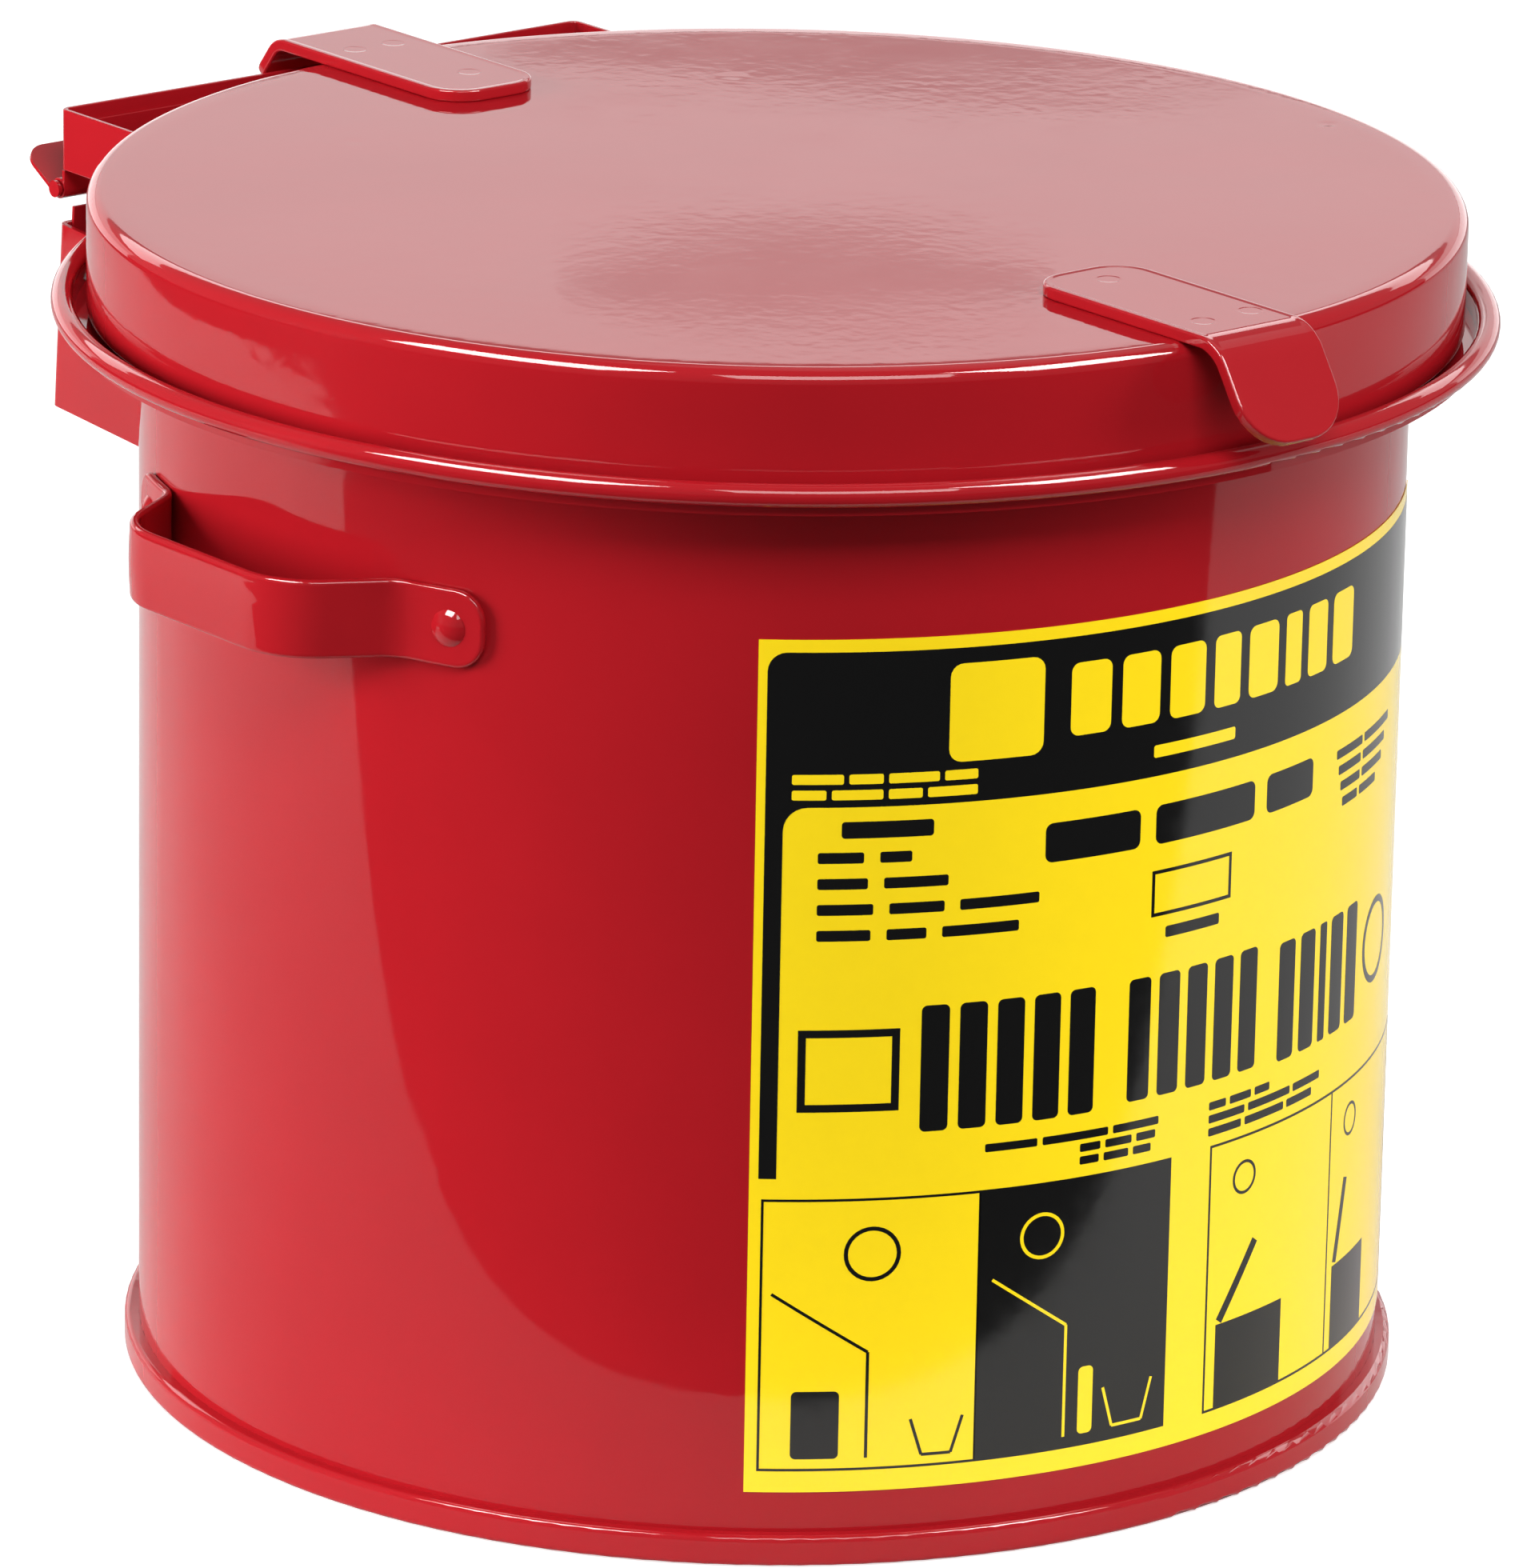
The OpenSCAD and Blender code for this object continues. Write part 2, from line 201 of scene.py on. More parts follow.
def make_floor():
    """The plain pale floor that the camera sees, and the table and dark room that the can mirrors."""
    wide = rectangle(FLOOR_SIDE, FLOOR_SIDE)
    floor = stage_plane("floor", wide, (0, 0, -0.2 * MM), None, (0.6, 0.6, 0.6))
    glow = floor.data.materials[0].node_tree.nodes["Principled BSDF"]
    glow.inputs["Emission Color"].default_value = (1, 1, 1, 1)
    glow.inputs["Emission Strength"].default_value = 0.68
    seen_by(floor, camera=True, gloss=False, diffuse=False)

    room = stage_plane("dark_room", wide, (0, 0, -2 * MM), None, (0.03, 0.03, 0.03))
    seen_by(room, camera=False, gloss=True, diffuse=True)

    # The table ends a hand's width in front of the can, and has a bulge at its left end
    left, right, back, front = -0.93, 1.6, 1.63, -0.21
    bulge = [(left + 0.06, 0.4), (left, 0.08), (left + 0.04, front), (left + 0.12, front - 0.1)]
    outline = [(left + 0.15, front + 0.035), (0, front), (right, front + 0.155), (right, back),
               (left + 0.06, back)] + bulge
    table = stage_plane("white_table", outline, (0, 0, -1 * MM), None, (0.72, 0.72, 0.72))
    table.rotation_euler.z = VIEW_AZIMUTH
    seen_by(table, camera=False, gloss=True, diffuse=True)


def make_lights():
    """The lights, and the bright and dark cards that only the gloss shows."""
    # A bright wall behind the can, in three bands
    back_wall("bright_back", 0.49, 0.68, 1.45)
    back_wall("bright_horizon", 0.06, 0.48, 2.0)
    back_wall("bright_ceiling", 0.8, 1.15, 4.0)

    # Darker things in front of that wall, seen as rippled patches in the lid
    mirror_card("patch_front", 0.006, 0.066, (0.15, 0.03), 1.0)
    mirror_card("patch_rear", 0.02, -0.112, (0.25, 0.024), 0.8)

    softbox("key_left", -79, 10, 1.5, (0.6, 0.9), 31, gloss=False)
    softbox("front_soft", 12, 44, 1.7, (0.9, 0.6), 22)
    softbox("fill_right", 82, 13, 1.6, (0.5, 0.8), 11, gloss=False)
    softbox("overhead", 150, 66, 1.7, (1.1, 1.1), 2.5)
    streak_card("streak_left", -50, 50, (0.75, 0.5), 45)
    streak_card("streak_right", 60, 50, (0.55, 0.5), 45)


# ---- materials ----

def node(tree, kind, **inputs):
    """A new node with some of its inputs set."""
    made = tree.nodes.new(kind)
    for name, value in inputs.items():
        made.inputs[name.replace("_", " ")].default_value = value
    return made


def new_material(name):
    """A material, its node tree and its shader."""
    material = bpy.data.materials.new(name)
    material.use_nodes = True
    tree = material.node_tree
    return material, tree, tree.nodes["Principled BSDF"]


def ripple(tree, where, scale, depth, detail=2.0, below=None):
    """A bump layer of soft noise, so many cells to the metre and so deep in metres."""
    noise = node(tree, "ShaderNodeTexNoise", Scale=scale, Detail=detail, Roughness=0.5)
    tree.links.new(where, noise.inputs["Vector"])
    bump = node(tree, "ShaderNodeBump", Strength=1.0, Distance=depth)
    tree.links.new(noise.outputs["Fac"], bump.inputs["Height"])
    if below is not None:
        tree.links.new(below.outputs["Normal"], bump.inputs["Normal"])
    return bump


def mapped(tree, source, low, high, from_low=0.0, from_high=1.0):
    """The source's range carried to low and high, and clamped."""
    made = node(tree, "ShaderNodeMapRange")
    made.inputs["From Min"].default_value = from_low
    made.inputs["From Max"].default_value = from_high
    made.inputs["To Min"].default_value = low
    made.inputs["To Max"].default_value = high
    tree.links.new(source, made.inputs["Value"])
    return made


def pressed(tree, where, below, centre, inner, outer, depth):
    """A bump layer with a round dent, flat as far as inner and gone at outer, in metres."""
    away = tree.nodes.new("ShaderNodeVectorMath")
    away.operation = "DISTANCE"
    away.inputs[1].default_value = centre
    tree.links.new(where, away.inputs[0])
    bowl = mapped(tree, away.outputs["Value"], 0, 1, inner, outer)
    bowl.interpolation_type = "SMOOTHSTEP"
    press = node(tree, "ShaderNodeBump", Strength=1.0, Distance=depth)
    tree.links.new(bowl.outputs["Result"], press.inputs["Height"])
    tree.links.new(below.outputs["Normal"], press.inputs["Normal"])
    return press


RED = (0.345, 0.0076, 0.0125)
RED_DEEP = (0.3, 0.0062, 0.0104)
ENAMEL_IOR = 1.34


def red_enamel(name, sheet_wave=0.15 * MM, peel_depth=0.006 * MM, dents=()):
    """Glossy baked enamel: orange peel, slight waves of the sheet, clouding, and any dents."""
    material, tree, shader = new_material(name)
    where = tree.nodes.new("ShaderNodeTexCoord").outputs["Object"]
    wave = ripple(tree, where, 16, sheet_wave, detail=0.0)
    peel = ripple(tree, where, 280, peel_depth, detail=1.0, below=wave)
    last = ripple(tree, where, 1100, 0.0006 * MM, detail=1.0, below=peel)
    for dent in dents:
        last = pressed(tree, where, last, *dent)
    tree.links.new(last.outputs["Normal"], shader.inputs["Normal"])
    shader.inputs["IOR"].default_value = ENAMEL_IOR

    cloud = node(tree, "ShaderNodeTexNoise", Scale=24.0, Detail=3.0, Roughness=0.55)
    tree.links.new(where, cloud.inputs["Vector"])
    tint = tree.nodes.new("ShaderNodeMix")
    tint.data_type = "RGBA"
    tint.inputs["A"].default_value = (*RED, 1)
    tint.inputs["B"].default_value = (*RED_DEEP, 1)
    share = mapped(tree, cloud.outputs["Fac"], 0, 0.5, 0.3, 0.75)
    tree.links.new(share.outputs["Result"], tint.inputs["Factor"])
    tree.links.new(tint.outputs["Result"], shader.inputs["Base Color"])
    gloss = node(tree, "ShaderNodeTexNoise", Scale=60.0, Detail=4.0, Roughness=0.6)
    tree.links.new(where, gloss.inputs["Vector"])
    roughness = mapped(tree, gloss.outputs["Fac"], 0.03, 0.065, 0.3, 0.7)
    tree.links.new(roughness.outputs["Result"], shader.inputs["Roughness"])
    return material


def paint(obj, material):
    obj.data.materials.clear()
    obj.data.materials.append(material)


def soften(obj, width, segments=3, angle=35):
    """Rounds the sharp edges of a sheet-metal piece, as paint and tumbling leave them."""
    weld = obj.modifiers.new("weld", "WELD")
    weld.merge_threshold = 0.002 * MM
    bevel = obj.modifiers.new("edge", "BEVEL")
    bevel.width = width
    bevel.segments = segments
    bevel.limit_method = "ANGLE"
    bevel.angle_limit = math.radians(angle)
    bevel.use_clamp_overlap = True
    normals = obj.modifiers.new("normals", "WEIGHTED_NORMAL")
    normals.keep_sharp = False


# Edge radius in millimetres of the CAD pieces that have sharp edges
SOFT_EDGES = {
    "upper_hinge_bracket": 0.3, "lower_hinge_bracket": 0.3, "stop_leaf": 0.28,
    "upper_hinge_leaf": 0.2, "lower_hinge_leaf": 0.2}


def dress_cad_nodes():
    """Enamels every CAD piece. Returns the wall's enamel and the lid's, which has three small dents."""
    enamel = red_enamel("wall_enamel")
    lid_enamel = red_enamel("lid_enamel", 0.16 * MM, 0.014 * MM, [
        ((0.049, 0.074, LID_TOP), 0, 4 * MM, 0.04 * MM),
        ((-0.045, 0.075, LID_TOP), 0, 3 * MM, 0.02 * MM),
        ((0.12, -0.024, LID_TOP), 0, 3 * MM, 0.05 * MM)])
    for name, obj in NODES.items():
        paint(obj, lid_enamel if name == "lid_pan" else enamel)
        if name in SOFT_EDGES:
            soften(obj, SOFT_EDGES[name] * MM)
    return enamel, lid_enamel


def strap_enamel():
    """Enamel for the straps, with the round marks of their spot welds."""
    top = LID_TOP + STRAP_T
    spots = [(0.001, -0.095), (-0.0045, -0.1275), (0.0075, -0.127),
             (0.0026, 0.0997), (0.0049, 0.1275), (-0.0046, 0.1277)]
    dents = [((x, y, top), 1.9 * MM, 2.6 * MM, 0.03 * MM) for x, y in spots]
    return red_enamel("strap_enamel", dents=dents)


# ---- outlines and meshes ----

def arc_points(centre, radius, start, end, steps=8):
    """Points round a centre from one angle to another, in degrees."""
    angles = [math.radians(start + (end - start) * i / steps) for i in range(steps + 1)]
    return [(centre[0] + radius * math.cos(a), centre[1] + radius * math.sin(a)) for a in angles]


def spaced(start, end, step):
    """Even marks from start to end, about a step apart."""
    count = max(1, round((end - start) / step))
    return [start + (end - start) * i / count for i in range(count + 1)]


SMOOTH_ANGLE = math.radians(40)


def mesh_object(bm, name):
    """An object made of a finished mesh, shaded smooth except where its edges are sharp."""
    bmesh.ops.recalc_face_normals(bm, faces=bm.faces[:])
    for face in bm.faces:
        face.smooth = True
    for edge in bm.edges:
        edge.smooth = edge.calc_face_angle(0) < SMOOTH_ANGLE
    mesh = bpy.data.meshes.new(name)
    bm.to_mesh(mesh)
    bm.free()
    piece = bpy.data.objects.new(name, mesh)
    bpy.context.scene.collection.objects.link(piece)
    return piece


# ---- lid ----

def lathed(name, profile, steps):
    """A closed profile of (radius, z) turned about the can's axis. A radius of 0 becomes one point."""
    bm = bmesh.new()
    rings = []
    for radius, z in profile:
        if radius == 0:
            rings.append([bm.verts.new((0, 0, z))] * steps)
            continue
        turns = [2 * math.pi * i / steps for i in range(steps)]
        rings.append([bm.verts.new((radius * math.cos(a), radius * math.sin(a), z)) for a in turns])
    for k in range(len(rings)):
        one, two = rings[k], rings[(k + 1) % len(rings)]
        if one[0] is one[1] and two[0] is two[1]:
            continue
        for i in range(steps):
            j = (i + 1) % steps
            corners = list(dict.fromkeys((one[i], one[j], two[j], two[i])))
            bm.faces.new(corners)
    return mesh_object(bm, name)


SHEET = 0.8 * MM
LID_BEND = 3 * MM
# Radii of the rings across the lid's flat, and heights of the rings above the skirt's edge
FLAT_RINGS = [r * MM for r in (0, 20, 40, 60, 80, 100, 115, 125)]
SKIRT_RINGS = [h * MM for h in (15, 10, 5, 1)]


def make_lid(material):
    """The lid's pan: flat top, round bend and deep skirt, with a rounded lower edge."""
    bend = (LID_R - LID_BEND, LID_TOP - LID_BEND)
    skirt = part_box("lid_pan")[0].z
    profile = [(r, LID_TOP) for r in FLAT_RINGS]
    profile += arc_points(bend, LID_BEND, 90, 0, 12)
    profile += [(LID_R, skirt + h) for h in SKIRT_RINGS]
    profile += arc_points((LID_R - SHEET / 2, skirt + SHEET / 2), SHEET / 2, 0, -180)
    profile += [(LID_R - SHEET, skirt + h) for h in SKIRT_RINGS[::-1]]
    profile += arc_points(bend, LID_BEND - SHEET, 0, 90)
    profile += [(r, LID_TOP - SHEET) for r in FLAT_RINGS[::-1]]
    piece = lathed("lid_pan_turned", profile, 256)
    paint(piece, material)
    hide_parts("lid_pan")
    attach(piece, "lid")


# ---- handles and straps, cut flat and then bent ----

def rounded_blank(start, end, width, start_r, end_r):
    """Outline of a flat strip along s, with its corners rounded at both ends."""
    h = width / 2
    return (arc_points((end - end_r, -h + end_r), end_r, -90, 0)
            + arc_points((end - end_r, h - end_r), end_r, 0, 90)
            + arc_points((start + start_r, h - start_r), start_r, 90, 180)
            + arc_points((start + start_r, -h + start_r), start_r, 180, 270))


def bend_to_shape(bm, name, place, cuts, lanes=()):
    """Cuts a flat mesh across at each s in cuts and each w in lanes, and carries it to place(s, w, t)."""
    for across, marks in ((Vector((1, 0, 0)), cuts), (Vector((0, 1, 0)), lanes)):
        for mark in marks:
            bmesh.ops.bisect_plane(bm, geom=bm.verts[:] + bm.edges[:] + bm.faces[:], dist=1e-7,
                                   plane_co=across * mark, plane_no=across)
    for v in bm.verts:
        v.co = place(*v.co)
    return mesh_object(bm, name)


# Width of the flat of the lip along a strip's edge, and where its slope is steep and ends
LIP_FLAT, LIP_SLOPE, LIP_END = 0.4 * MM, 0.9 * MM, 1.4 * MM


def rounded_strip(name, ends, width, corners, thickness, edge_r, lip, place, cuts, lanes=()):
    """A bent strip with rounded corners and edges, and a faint lip where the paint has gathered."""
    quarter = [math.radians(90 * i / 4) for i in range(5)]
    # Each ring of points has an inset from the outline and a height
    rings = [(edge_r * (1 - math.sin(a)), edge_r * (1 - math.cos(a))) for a in quarter]
    rings += [(edge_r * (1 - math.cos(a)), thickness - edge_r * (1 - math.sin(a))) for a in quarter]
    rings += [(edge_r + LIP_FLAT, thickness), (edge_r + LIP_SLOPE, thickness - lip * 0.7),
              (edge_r + LIP_END, thickness - lip)]
    bm = bmesh.new()
    loops = []
    for inset, level in rings:
        outline = rounded_blank(ends[0] + inset, ends[1] - inset, width - 2 * inset,
                                corners[0] - inset, corners[1] - inset)
        loops.append([bm.verts.new((s, w, level)) for s, w in outline])
    bm.faces.new(loops[0][::-1])
    bm.faces.new(loops[-1])
    for one, two in zip(loops, loops[1:]):
        for i in range(len(one)):
            j = (i + 1) % len(one)
            bm.faces.new((one[i], one[j], two[j], two[i]))
    piece = bend_to_shape(bm, name, place, cuts, lanes)
    piece.modifiers.new("normals", "WEIGHTED_NORMAL")
    return piece


class BentPath:
    """A path in a plane, of pieces (length, radius, turn): straight ones have no radius, and an arc
    turns left for 1 and right for -1."""

    def __init__(self, start, heading, pieces):
        self.rows = []
        x, y = start
        s = 0
        for length, radius, sign in pieces:
            self.rows.append((s, length, radius, sign, x, y, heading))
            x, y, heading = self.step(x, y, heading, length, radius, sign)
            s += length
        self.length = s

    @staticmethod
    def step(x, y, heading, length, radius, sign):
        """Where a piece ends, and its heading there."""
        if radius is None:
            return x + length * math.cos(heading), y + length * math.sin(heading), heading
        turn = sign * length / radius
        cx, cy = x - sign * radius * math.sin(heading), y + sign * radius * math.cos(heading)
        return (cx + sign * radius * math.sin(heading + turn),
                cy - sign * radius * math.cos(heading + turn), heading + turn)

    def at(self, s):
        """The point at s and the direction to its right-hand side."""
        row = next(r for r in reversed(self.rows) if s >= r[0] or r[0] == 0)
        x, y, heading = self.step(row[4], row[5], row[6], s - row[0], row[2], row[3])
        return (x, y), (math.sin(heading), -math.cos(heading))

    def cuts(self, step):
        """Where the bent stretches are cut across."""
        return [s for r in self.rows if r[2] for s in spaced(r[0], r[0] + r[1], step)]


HANDLE_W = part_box("left_handle")[1].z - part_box("left_handle")[0].z
HANDLE_Z = (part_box("left_handle")[1].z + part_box("left_handle")[0].z) / 2
HANDLE_T = 1.8 * MM
# Half the bow's straight length, and the radii of the bow's corners and of the bends into the feet
BOW_STRAIGHT, BOW_BEND, FOOT_BEND = 14.84 * MM, 16 * MM, 8 * MM
# Where a foot starts to lie on the wall and where it ends, from the handle's middle
LEG_TURN, FOOT_END = math.radians(18.1), math.radians(25.4)
FOOT_CORNER = 6 * MM
# The strap's section is slightly crowned, except where its feet lie on the wall
HANDLE_CROWN, FOOT_FLAT, CROWN_FADE = 0.35 * MM, 18 * MM, 12 * MM
STRAP_CORNER = 8 * MM
STRAP_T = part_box("rear_strap")[1].z - LID_TOP
STRAP_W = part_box("rear_strap")[1].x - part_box("rear_strap")[0].x
STRAP_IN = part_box("rear_strap")[0].y


def make_handle(name, turn, material):
    """Flat strap bent out into a bow, with both feet lying on the wall; drawn for +X, then turned."""
    wall = BODY_R_OUT + HANDLE_T / 2
    bow_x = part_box("right_handle")[1].x - HANDLE_T / 2
    bow_c = Vector((bow_x - BOW_BEND, BOW_STRAIGHT))
    foot_c = (wall + FOOT_BEND) * Vector((math.cos(LEG_TURN), math.sin(LEG_TURN)))
    apart = foot_c - bow_c
    lean = math.asin((BOW_BEND + FOOT_BEND) / apart.length)
    heading = math.atan2(apart.y, apart.x) + lean
    bow_turn = heading - math.pi / 2
    leg = math.sqrt(apart.length ** 2 - (BOW_BEND + FOOT_BEND) ** 2)
    path = BentPath((bow_x, 0), math.pi / 2, [
        (BOW_STRAIGHT, None, 0),
        (BOW_BEND * bow_turn, BOW_BEND, 1),
        (leg, None, 0),
        (FOOT_BEND * (bow_turn - LEG_TURN), FOOT_BEND, -1),
        (wall * (FOOT_END - LEG_TURN), wall, 1)])

    def place(s, w, t):
        (x, y), (nx, ny) = path.at(abs(s))
        fade = max(0, min(1, (path.length - FOOT_FLAT - abs(s)) / CROWN_FADE))
        crown = HANDLE_CROWN * (2 * w / HANDLE_W) ** 2 * fade
        x, y = x + nx * (t - HANDLE_T / 2 - crown), y + ny * (t - HANDLE_T / 2 - crown)
        y = math.copysign(y, s) if s else 0
        return turn * x, turn * y, HANDLE_Z + w

    half = path.cuts(0.8 * MM)
    cuts = [-s for s in half] + half + spaced(-BOW_STRAIGHT, BOW_STRAIGHT, 4 * MM)
    lanes = spaced(-HANDLE_W / 2 + 1.5 * MM, HANDLE_W / 2 - 1.5 * MM, 2 * MM)
    ends = (-path.length, path.length)
    piece = rounded_strip(name + "_strap", ends, HANDLE_W, (FOOT_CORNER, FOOT_CORNER),
                          HANDLE_T, 0.75 * MM, 0.03 * MM, place, cuts, lanes)
    paint(piece, material)
    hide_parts(name)
    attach(piece, "can")


def make_strap(name, turn, material, bend_y, angle, slope, bend_r, tip_r):
    """Stamped strap that lies on the lid and slopes down past its edge; drawn toward +Y, then turned."""
    mid = LID_TOP + STRAP_T / 2
    angle = math.radians(angle)
    tangent = bend_r * math.tan(angle / 2)
    path = BentPath((STRAP_IN, mid), 0, [
        (bend_y - tangent - STRAP_IN, None, 0),
        (bend_r * angle, bend_r, -1),
        (slope - tangent, None, 0)])

    def place(s, w, t):
        (y, z), (ny, nz) = path.at(s)
        y, z = y - ny * (t - STRAP_T / 2), z - nz * (t - STRAP_T / 2)
        return -turn * w, turn * y, z

    piece = rounded_strip(name + "_strap", (0, path.length), STRAP_W, (STRAP_CORNER, tip_r),
                          STRAP_T, 0.5 * MM, 0.07 * MM, place, path.cuts(0.6 * MM))
    paint(piece, material)
    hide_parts(name)
    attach(piece, "lid")


# ---- label ----

LABEL_TURN, LABEL_ANGLE = math.radians(3), math.radians(87)
LABEL_LEFT = LABEL_TURN - LABEL_ANGLE / 2
LABEL_R = BODY_R_OUT + 0.05 * MM
LABEL_T = 0.15 * MM
LABEL_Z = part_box("label")[0].z
LABEL_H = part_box("label")[1].z - LABEL_Z
LABEL_W = LABEL_R * LABEL_ANGLE
LABEL_CUTS = spaced(0, LABEL_W, 2 * MM)
INK_T = 0.03 * MM


def on_label(s, w, t):
    """A point s to the right of the label's left edge, w above its lower edge and t off the wall."""
    angle = LABEL_LEFT + s / LABEL_R
    return (LABEL_R + t) * math.sin(angle), -(LABEL_R + t) * math.cos(angle), LABEL_Z + w


def on_film(s, w, t):
    """The same, t off the film's face."""
    return on_label(s, w, LABEL_T + t)


def ring(centre, outer, inner):
    """A ring as two halves, so that each is one outline."""
    halves = []
    for start in (0, 180):
        halves.append(arc_points(centre, outer, start, start + 180, 16)
                      + arc_points(centre, inner, start + 180, start, 16))
    return halves


def bar(x0, y0, x1, y1, r=0.0):
    """A rectangle in label millimetres, with rounded corners if asked."""
    if not r:
        return [(x0, y0), (x1, y0), (x1, y1), (x0, y1)]
    return (arc_points((x1 - r, y0 + r), r, -90, 0, 5) + arc_points((x1 - r, y1 - r), r, 0, 90, 5)
            + arc_points((x0 + r, y1 - r), r, 90, 180, 5) + arc_points((x0 + r, y0 + r), r, 180, 270, 5))


def frame_bars(x0, y0, x1, y1, line=0.5):
    """The four sides of a rectangular frame."""
    return [bar(x0, y0, x1, y0 + line), bar(x0, y1 - line, x1, y1),
            bar(x0, y0 + line, x0 + line, y1 - line), bar(x1 - line, y0 + line, x1, y1 - line)]


def stroke(x0, y0, x1, y1, line=0.6):
    """A straight line of the given width."""
    dx, dy = x1 - x0, y1 - y0
    n = line / 2 / math.hypot(dx, dy)
    return [(x0 + dy * n, y0 - dx * n), (x1 + dy * n, y1 - dx * n),
            (x1 - dy * n, y1 + dx * n), (x0 - dy * n, y0 + dx * n)]


def words(x0, y0, x1, height, lengths, gap):
    """A row of plain rounded bars that fills the width from x0 to x1, in the given proportions."""
    unit = (x1 - x0 - gap * (len(lengths) - 1)) / sum(lengths)
    row = []
    for length in lengths:
        row.append(bar(x0, y0, x0 + unit * length, y0 + height, min(height, unit * length) * 0.2))
        x0 += unit * length + gap
    return row


def thicken(bm, thickness):
    """Turns flat faces into closed slabs of that thickness."""
    grown = bmesh.ops.extrude_face_region(bm, geom=bm.faces[:], use_keep_orig=True)
    for v in [g for g in grown["geom"] if isinstance(g, bmesh.types.BMVert)]:
        v.co.z += thickness


def print_ink(name, shapes, material, level):
    """Ink as a thin raised layer on the film, one piece for all the shapes of a colour."""
    bm = bmesh.new()
    for shape in shapes:
        bm.faces.new([bm.verts.new((x * MM, y * MM, level)) for x, y in shape])
    thicken(bm, INK_T)
    piece = bend_to_shape(bm, name, on_film, LABEL_CUTS)
    paint(piece, material)
    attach(piece, "can")


def printed_film(name, color):
    """Satin printed vinyl: slight mottling of the ink and a soft unevenness of the film."""
    material, tree, shader = new_material(name)
    where = tree.nodes.new("ShaderNodeTexCoord").outputs["Object"]
    wave = ripple(tree, where, 30, 0.06 * MM, detail=0.0)
    peel = ripple(tree, where, 280, 0.006 * MM, detail=1.0, below=wave)
    tree.links.new(peel.outputs["Normal"], shader.inputs["Normal"])
    mottle = node(tree, "ShaderNodeTexNoise", Scale=220.0, Detail=3.0, Roughness=0.6)
    tree.links.new(where, mottle.inputs["Vector"])
    tint = tree.nodes.new("ShaderNodeMix")
    tint.data_type = "RGBA"
    tint.inputs["A"].default_value = (*color, 1)
    tint.inputs["B"].default_value = (*(c * 0.96 for c in color), 1)
    tree.links.new(mottle.outputs["Fac"], tint.inputs["Factor"])
    tree.links.new(tint.outputs["Result"], shader.inputs["Base Color"])
    roughness = mapped(tree, mottle.outputs["Fac"], 0.08, 0.13, 0.3, 0.7)
    tree.links.new(roughness.outputs["Result"], shader.inputs["Roughness"])
    return material


INK_RIGHT = LABEL_W / MM - 2


def header_block():
    """The black header with its side bar down the left edge, in label millimetres."""
    return (arc_points((5.3, 160.0), 3.6, 180, 90, 6)
            + [(INK_RIGHT, 163.6), (INK_RIGHT, 134.0), (9.5, 134.0)]
            + arc_points((9.5, 129.5), 4.5, 90, 180, 6)
            + [(5.0, 62.0), (1.7, 62.0)])


def lettering_blocks():
    """Plain bars and frames in place of the lettering and the signs."""
    shapes = words(15.8, 128.0, 33.0, 3.2, [1], 1)
    for y, lengths, end in ((123.2, [2, 1.4], 29), (118.2, [2, 2.6], 36),
                            (113.2, [2, 2, 3], 54), (108.2, [2, 1.5, 3], 50)):
        shapes += words(11.5, y, end, 2.1, lengths, 3.0)
    shapes += words(55.0, 120.6, 123.5, 7.6, [4, 5, 3], 3.6)
    for k, end in enumerate((163, 160, 158, 154)):
        shapes += words(133 + k, 125.0 - 3.3 * k, end, 1.8, [3, 4], 1.2)
    shapes += frame_bars(78.5, 106.5, 98.5, 115.5, 0.7)
    shapes += words(82.0, 102.0, 95.5, 2.2, [1], 1)
    shapes += words(31.5, 70.5, 66.5, 24.6, [1, 1, 1, 1, 1], 2.0)
    shapes += words(74.0, 71.0, 107.0, 24.0, [1, 1, 1, 1, 1], 2.0)
    shapes += words(114.0, 70.0, 146.0, 23.6, [1, 1, 0.5, 1, 1], 2.0)
    shapes += ring((158.5, 82.0), 8.6, 7.2)
    shapes += frame_bars(8.5, 75.0, 27.5, 91.0, 1.5)
    for y, x0, x1 in ((65.4, 44.4, 81.7), (62.9, 64.0, 81.0), (60.4, 64.0, 80.0),
                      (65.2, 94.5, 112.0), (62.6, 94.5, 130.0), (60.0, 94.5, 127.0)):
        shapes += words(x0, y, x1, 1.6, [3, 4, 3], 1.1)
    return shapes


def panels():
    """The pale panel, the dark panel and the framed pair, with plain lines, circles and blocks."""
    shapes = frame_bars(2.3, 4.2, 44.0, 58.0)
    shapes.append(bar(43.5, 4.2, 85.2, 58.0))
    shapes += frame_bars(95.2, 4.2, INK_RIGHT + 0.5, 58.0)
    shapes.append(bar(136.0, 4.7, 136.5, 57.5))
    shapes += ring((23.2, 47.0), 5.4, 4.6)
    shapes += [stroke(31.1, 13.8, 33.3, 6.6), stroke(33.3, 6.6, 39.0, 6.6), stroke(39.0, 6.6, 41.2, 13.8)]
    shapes += [stroke(4.5, 39.3, 22.7, 27.6), stroke(22.7, 27.6, 22.7, 6.6)]
    shapes += [bar(8.5, 6.6, 17.5, 20.0, 1.0)]
    shapes += [bar(98.2, 4.7, 118.4, 21.4), stroke(99.0, 22.0, 109.0, 36.0, 1.8)]
    shapes += [bar(139.0, 4.7, 157.0, 21.4), stroke(140.0, 22.0, 144.5, 38.0, 1.8)]
    shapes += ring((105.2, 49.5), 3.4, 2.8) + ring((146.0, 49.5), 3.4, 2.8)
    return shapes


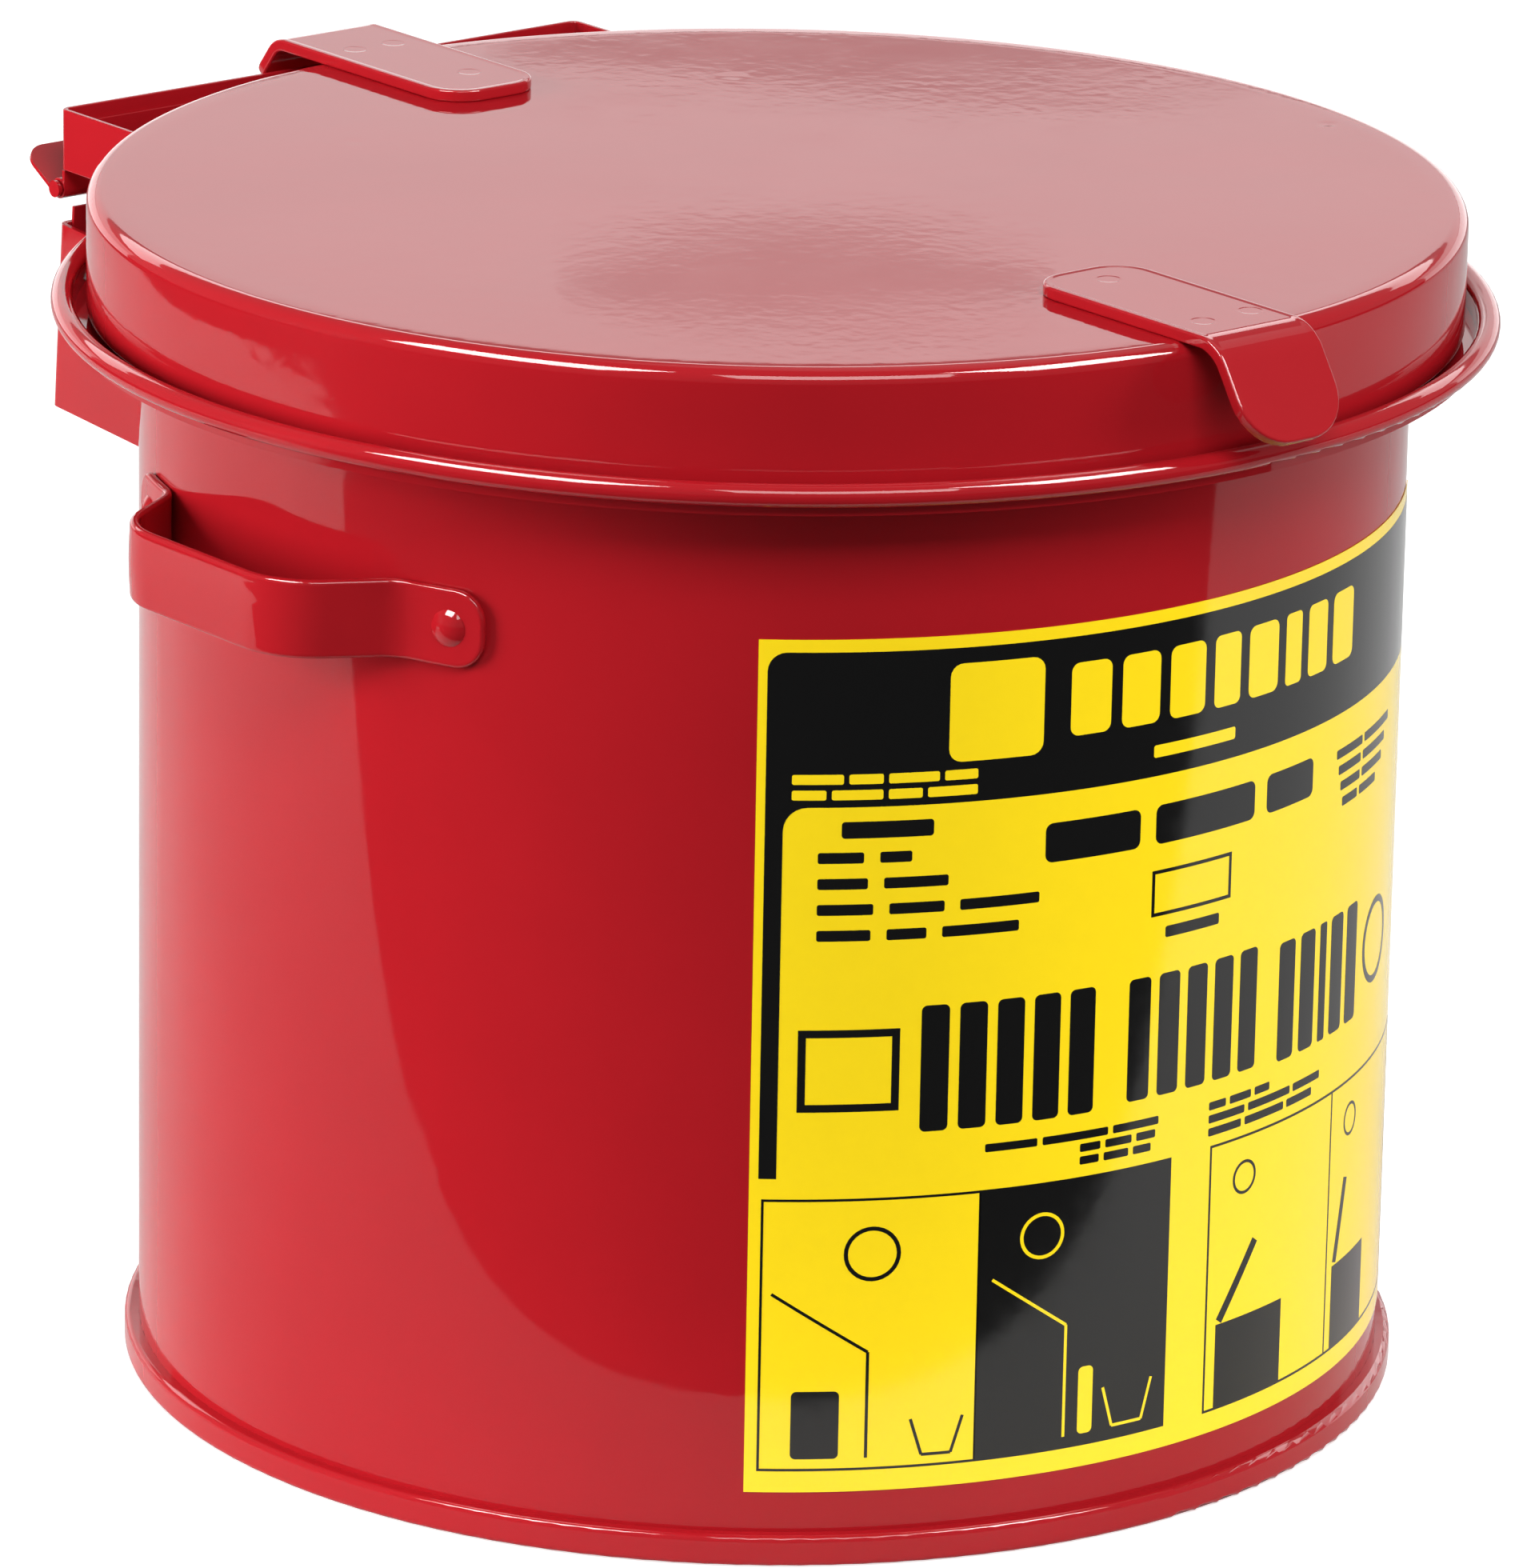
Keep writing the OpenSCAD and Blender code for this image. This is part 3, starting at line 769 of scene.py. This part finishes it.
def yellow_shapes():
    """Yellow print on the black: bars in the header, and lines and a circle in the dark panel."""
    shapes = [bar(35.5, 141.8, 54.0, 160.6, 2.5)]
    shapes += words(59.5, 144.5, 138.0, 14.0, [1, 1, 1, 0.8, 1, 0.6, 0.8, 1], 2.4)
    shapes += words(78.0, 137.6, 98.3, 2.4, [1], 1)
    shapes += words(6.5, 138.4, 41.2, 1.9, [3, 2, 3, 2], 1.0)
    shapes += words(6.5, 135.4, 41.2, 1.9, [2, 3, 2, 3], 1.0)
    shapes += ring((56.5, 47.5), 4.6, 3.9)
    shapes += [stroke(46.5, 40.0, 62.0, 29.0), stroke(62.0, 29.0, 62.0, 6.6)]
    shapes += [stroke(70.5, 15.0, 72.7, 7.0), stroke(72.7, 7.0, 79.5, 7.0), stroke(79.5, 7.0, 81.7, 15.0)]
    shapes += [bar(65.0, 6.6, 68.2, 20.0, 1.0)]
    return shapes


def make_label():
    """The label's film, with the black print on it and the yellow print on the black."""
    yellow = printed_film("label_yellow", (0.96, 0.7, 0.009))
    black = printed_film("label_black", (0.0035, 0.0035, 0.0035))
    blank = bmesh.new()
    blank.faces.new([blank.verts.new((s, w, 0)) for s, w in bar(0, 0, LABEL_W, LABEL_H)])
    thicken(blank, LABEL_T)
    film = bend_to_shape(blank, "label_sheet", on_label, LABEL_CUTS)
    paint(film, yellow)
    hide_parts("label")
    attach(film, "can")
    black_shapes = [header_block()] + lettering_blocks() + panels()
    print_ink("label_black_print", black_shapes, black, 0)
    print_ink("label_yellow_print", yellow_shapes(), yellow, INK_T)


make_camera()
make_world()
make_floor()
make_lights()
wall_paint, lid_paint = dress_cad_nodes()
make_lid(lid_paint)
make_handle("right_handle", 1, wall_paint)
make_handle("left_handle", -1, wall_paint)
strap_paint = strap_enamel()
make_strap("front_lift_tab", -1, strap_paint,
           bend_y=138.8 * MM, angle=57, slope=20.6 * MM, bend_r=8 * MM, tip_r=9.5 * MM)
make_strap("rear_strap", 1, strap_paint,
           bend_y=144.4 * MM, angle=52, slope=11 * MM, bend_r=5 * MM, tip_r=4 * MM)
make_label()
